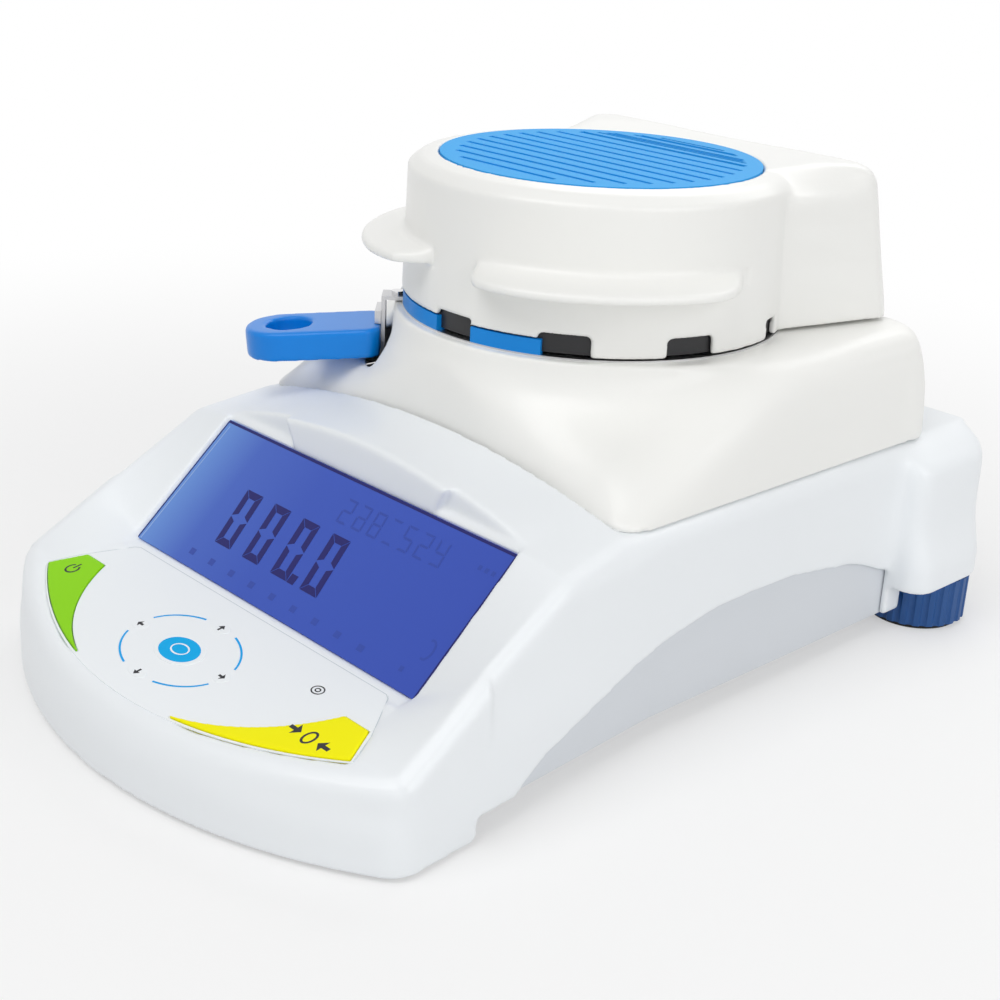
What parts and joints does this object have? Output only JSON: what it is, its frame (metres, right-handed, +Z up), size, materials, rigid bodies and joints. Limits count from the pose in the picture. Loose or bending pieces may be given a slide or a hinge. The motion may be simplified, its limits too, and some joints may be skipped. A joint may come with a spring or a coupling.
{
  "type": "moisture analyzer",
  "caption": "Benchtop halogen moisture analyzer with hinged heating lid, blue display, keypad, pan lifter and levelling feet.",
  "frame": {"origin": "centre of the bounding box's footprint, on the surface the feet stand on", "axes": "+Z up, the keypad and display face -Y, the rear connectors face +Y, +X to the right seen from the front"},
  "size_m": [0.24, 0.3532, 0.186],
  "materials": {
    "housing_white": "satin",
    "tray_grey": "matte",
    "deck_white": "satin",
    "steel": "brushed",
    "blue_trim": "gloss",
    "zinc_steel": "plated",
    "pan_metal": "satin",
    "cell_metal": "machined",
    "handle_blue": "gloss",
    "black_rubber": "matte",
    "dark_plastic": "matte",
    "board_green": "matte",
    "winding_copper": "lacquered",
    "lcd_blue": "lit",
    "clear_glass": "clear",
    "overlay_white": "fine texture",
    "lid_white": "satin",
    "vent_blue": "matte",
    "polished_steel": "polished",
    "lamp_glass": "clear",
    "ceramic": "matte",
    "key_green": "satin",
    "key_yellow": "satin",
    "key_blue": "satin",
    "key_grey": "matte",
    "foot_blue": "matte"
  },
  "bodies": {
    "base": {"upper_housing": "housing_white", "lower_housing": "tray_grey", "deck_cover": "deck_white", "chamber_liner": "steel", "chamber_ring": "blue_trim", "hinge_bracket": "zinc_steel", "hinge_pins": "steel", "sample_pan": "pan_metal", "pan_support": "steel", "load_cell": "cell_metal", "cell_bracket": "cell_metal", "lifter_ring": "steel", "lifter_handle": "handle_blue", "lifter_gasket": "black_rubber", "lifter_rivet": "steel", "front_feet": "black_rubber", "power_inlet": "dark_plastic", "switch_frame": "dark_plastic", "data_port": "zinc_steel", "aux_port": "dark_plastic", "main_board": "board_green", "board_parts": "dark_plastic", "transformer": "winding_copper", "lcd_module": "lcd_blue", "display_window": "clear_glass", "display_board": "board_green", "keypad_board": "board_green", "keypad_overlay": "overlay_white", "base_screws": "zinc_steel"},
    "lid": {"lid_shell": "lid_white", "lid_tower": "lid_white", "vent_disc": "vent_blue", "heat_reflector": "polished_steel", "halogen_lamp": "lamp_glass", "lamp_holders": "ceramic", "guard_ring": "dark_plastic", "guard_glass": "clear_glass", "temperature_sensor": "steel"},
    "key_green_body": {"key_green": "key_green"},
    "key_yellow_body": {"key_yellow": "key_yellow"},
    "key_enter_body": {"key_enter": "key_blue"},
    "key_left_body": {"key_left": "key_grey"},
    "key_right_body": {"key_right": "key_grey"},
    "key_up_body": {"key_up": "key_grey"},
    "key_down_body": {"key_down": "key_grey"},
    "switch": {"switch_rocker": "dark_plastic"},
    "knob_left": {"foot_knob_left": "foot_blue"},
    "pad_left": {"foot_pad_left": "black_rubber"},
    "knob_right": {"foot_knob_right": "foot_blue"},
    "pad_right": {"foot_pad_right": "black_rubber"}
  },
  "joints": [
    {"name": "lid_hinge", "type": "hinge", "parent": "base", "child": "lid", "pos_m": [0, 0.148, 0.121], "axis": [-1, 0, 0], "range_deg": [0, 82]},
    {"name": "key_green_press", "type": "slide", "parent": "base", "child": "key_green_body", "axis": [0, 0.1736, -0.9848], "range_m": [0, 0.0005], "stiffness_N_per_m": 600},
    {"name": "key_yellow_press", "type": "slide", "parent": "base", "child": "key_yellow_body", "axis": [0, 0.1736, -0.9848], "range_m": [0, 0.0005], "stiffness_N_per_m": 600},
    {"name": "key_enter_press", "type": "slide", "parent": "base", "child": "key_enter_body", "axis": [0, 0.1736, -0.9848], "range_m": [0, 0.0005], "stiffness_N_per_m": 600},
    {"name": "key_left_press", "type": "slide", "parent": "base", "child": "key_left_body", "axis": [0, 0.1736, -0.9848], "range_m": [0, 0.0005], "stiffness_N_per_m": 600},
    {"name": "key_right_press", "type": "slide", "parent": "base", "child": "key_right_body", "axis": [0, 0.1736, -0.9848], "range_m": [0, 0.0005], "stiffness_N_per_m": 600},
    {"name": "key_up_press", "type": "slide", "parent": "base", "child": "key_up_body", "axis": [0, 0.1736, -0.9848], "range_m": [0, 0.0005], "stiffness_N_per_m": 600},
    {"name": "key_down_press", "type": "slide", "parent": "base", "child": "key_down_body", "axis": [0, 0.1736, -0.9848], "range_m": [0, 0.0005], "stiffness_N_per_m": 600},
    {"name": "switch_rock", "type": "hinge", "parent": "base", "child": "switch", "pos_m": [-0.072, 0.172, 0.036], "axis": [1, 0, 0], "range_deg": [0, 9]},
    {"name": "knob_turn_left", "type": "hinge", "parent": "base", "child": "knob_left", "pos_m": [-0.098, 0.1556, 0.0107], "axis": [0, 0, 1], "range_deg": [0, 720]},
    {"name": "pad_slide_left", "type": "slide", "parent": "knob_left", "child": "pad_left", "axis": [0, 0, -1], "range_m": [0, 0.003]},
    {"name": "knob_turn_right", "type": "hinge", "parent": "base", "child": "knob_right", "pos_m": [0.098, 0.1556, 0.0107], "axis": [0, 0, 1], "range_deg": [0, 720]},
    {"name": "pad_slide_right", "type": "slide", "parent": "knob_right", "child": "pad_right", "axis": [0, 0, -1], "range_m": [0, 0.003]}
  ],
  "couplings": [
    {"joint": "pad_slide_left", "follows": "knob_turn_left", "m_per_rad": 0.00023873},
    {"joint": "pad_slide_right", "follows": "knob_turn_right", "m_per_rad": 0.00023873}
  ]
}
